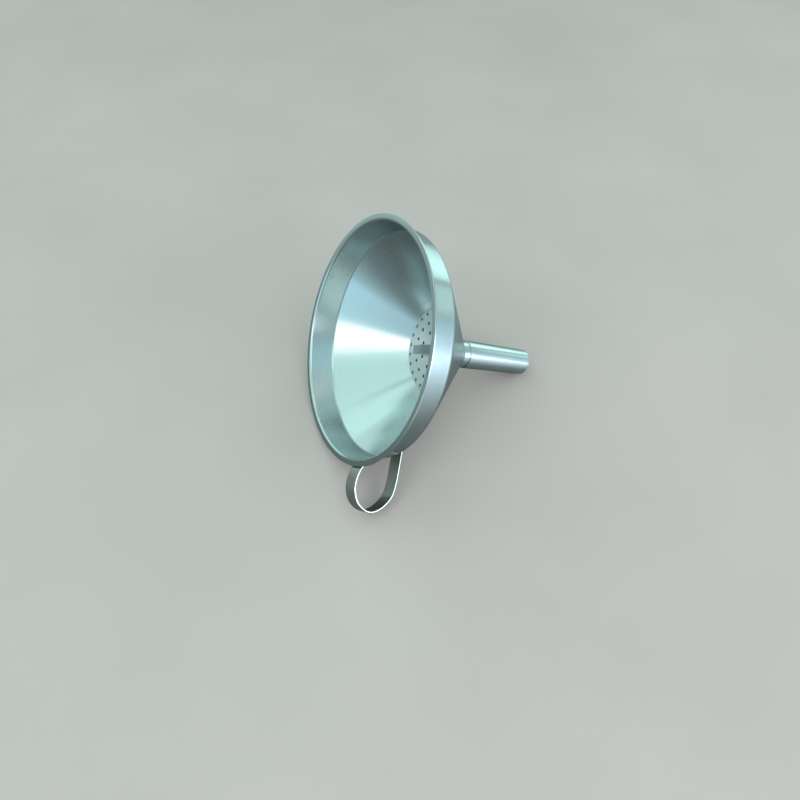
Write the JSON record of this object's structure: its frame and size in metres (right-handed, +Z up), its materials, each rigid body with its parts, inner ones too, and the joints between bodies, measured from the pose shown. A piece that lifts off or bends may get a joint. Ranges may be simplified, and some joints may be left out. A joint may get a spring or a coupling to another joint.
{
  "type": "hand funnel with lift-out strainer",
  "caption": "Stainless steel hand funnel lying on its side: flanged bowl, straight spout, bent strip loop handle and a perforated strainer plate that lifts out by a strap.",
  "frame": {"origin": "centre of the bounding box on the surface that the funnel lies on", "axes": "+Z up from that surface; the funnel's axis lies in the XZ plane, with the mouth towards -X and the spout towards +X and 28 degrees down; the loop handle stands out towards -Y"},
  "size_m": [0.1332, 0.1358, 0.117],
  "materials": {
    "bowl_steel": "circular brushed stainless steel, satin",
    "spout_steel": "lengthwise polished stainless steel tube, satin",
    "handle_steel": "rolled stainless steel strip, satin, with bright cut edges",
    "strainer_steel": "matte stainless steel sheet with punched holes",
    "pull_steel": "rolled stainless steel strip, satin"
  },
  "bodies": {
    "funnel": {"funnel_bowl": "bowl_steel", "spout_tube": "spout_steel", "loop_handle": "handle_steel"},
    "strainer": {"strainer_disc": "strainer_steel", "strainer_pull": "pull_steel"}
  },
  "joints": [
    {"name": "strainer_lift", "type": "slide", "parent": "funnel", "child": "strainer", "axis": [-0.8809, 0, 0.4732], "range_m": [0, 0.06]}
  ]
}
